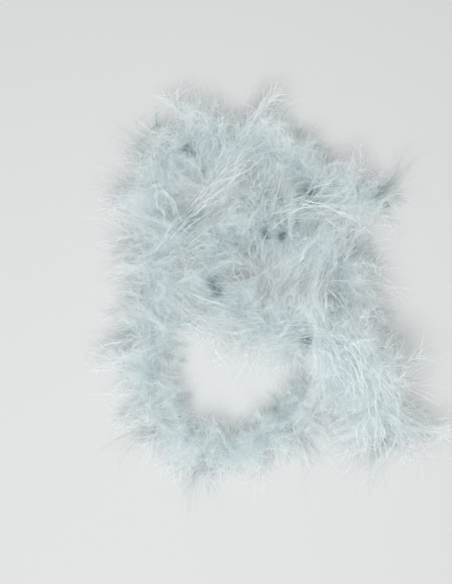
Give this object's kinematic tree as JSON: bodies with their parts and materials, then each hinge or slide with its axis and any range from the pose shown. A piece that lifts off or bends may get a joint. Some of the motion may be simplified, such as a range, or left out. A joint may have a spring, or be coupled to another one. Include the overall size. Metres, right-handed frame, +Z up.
{
  "type": "feather boa",
  "caption": "Fluffy feather boa dropped in a loose looped pile: a twisted cotton cord with ruffs of marabou plumes bound round it and ostrich flues between them.",
  "frame": {"origin": "on the table, under the middle of the pile's bounding box", "axes": "+Z up from the table; +Y along the pile's longer side, from the lower loop towards the upper corner; +X to the right seen from above"},
  "size_m": [0.4976, 0.5942, 0.12],
  "materials": {
    "marabou_down": "soft pale ice-blue down, matt and fluffy",
    "ostrich_flue": "fine pale ice-blue flues with a faint silky sheen",
    "cotton_cord": "dyed twisted cotton, matt",
    "binding_thread": "pale blue sewing thread, satin"
  },
  "bodies": {
    "pile": {"marabou_ruff_03": "marabou_down", "marabou_ruff_04": "marabou_down", "marabou_ruff_05": "marabou_down", "marabou_ruff_06": "marabou_down", "marabou_ruff_07": "marabou_down", "marabou_ruff_08": "marabou_down", "marabou_ruff_09": "marabou_down", "marabou_ruff_10": "marabou_down", "marabou_ruff_11": "marabou_down", "marabou_ruff_12": "marabou_down", "marabou_ruff_13": "marabou_down", "marabou_ruff_14": "marabou_down", "marabou_ruff_15": "marabou_down", "marabou_ruff_16": "marabou_down", "marabou_ruff_17": "marabou_down", "marabou_ruff_18": "marabou_down", "marabou_ruff_19": "marabou_down", "marabou_ruff_20": "marabou_down", "marabou_ruff_21": "marabou_down", "marabou_ruff_22": "marabou_down", "marabou_ruff_23": "marabou_down", "marabou_ruff_24": "marabou_down", "marabou_ruff_25": "marabou_down", "ostrich_flues_02": "ostrich_flue", "ostrich_flues_03": "ostrich_flue", "ostrich_flues_04": "ostrich_flue", "ostrich_flues_05": "ostrich_flue", "ostrich_flues_06": "ostrich_flue", "ostrich_flues_07": "ostrich_flue", "ostrich_flues_08": "ostrich_flue", "ostrich_flues_09": "ostrich_flue", "ostrich_flues_10": "ostrich_flue", "ostrich_flues_11": "ostrich_flue", "ostrich_flues_12": "ostrich_flue", "ostrich_flues_13": "ostrich_flue", "core_cord_middle": "cotton_cord", "binding_thread_middle": "binding_thread"},
    "end_b_inner": {"marabou_ruff_02": "marabou_down", "core_cord_end_b_inner": "cotton_cord", "binding_thread_end_b_inner": "binding_thread"},
    "end_b_outer": {"marabou_ruff_01": "marabou_down", "ostrich_flues_01": "ostrich_flue", "core_cord_end_b_outer": "cotton_cord", "binding_thread_end_b_outer": "binding_thread", "end_whipping_b": "binding_thread", "end_knot_b": "cotton_cord"},
    "end_a_inner": {"marabou_ruff_26": "marabou_down", "marabou_ruff_27": "marabou_down", "ostrich_flues_14": "ostrich_flue", "core_cord_end_a_inner": "cotton_cord", "binding_thread_end_a_inner": "binding_thread"},
    "end_a_outer": {"marabou_ruff_28": "marabou_down", "ostrich_flues_15": "ostrich_flue", "ostrich_flues_16": "ostrich_flue", "core_cord_end_a_outer": "cotton_cord", "binding_thread_end_a_outer": "binding_thread", "end_whipping_a": "binding_thread", "end_knot_a": "cotton_cord"}
  },
  "joints": [
    {"name": "end_b_lift", "type": "hinge", "parent": "pile", "child": "end_b_inner", "pos_m": [0.03989, 0.18859, 0.0274], "axis": [-0.4715, -0.8819, 0], "range_deg": [0, 30]},
    {"name": "end_b_tip_lift", "type": "hinge", "parent": "end_b_inner", "child": "end_b_outer", "pos_m": [0.09671, 0.16434, 0.0274], "axis": [-0.2941, -0.9558, 0], "range_deg": [0, 30]},
    {"name": "end_a_lift", "type": "hinge", "parent": "pile", "child": "end_a_inner", "pos_m": [0.08416, -0.04352, 0.08179], "axis": [-0.2653, -0.9642, 0], "range_deg": [0, 30]},
    {"name": "end_a_tip_lift", "type": "hinge", "parent": "end_a_inner", "child": "end_a_outer", "pos_m": [0.15711, -0.12283, 0.05718], "axis": [-0.9433, -0.3318, 0], "range_deg": [0, 30]}
  ]
}
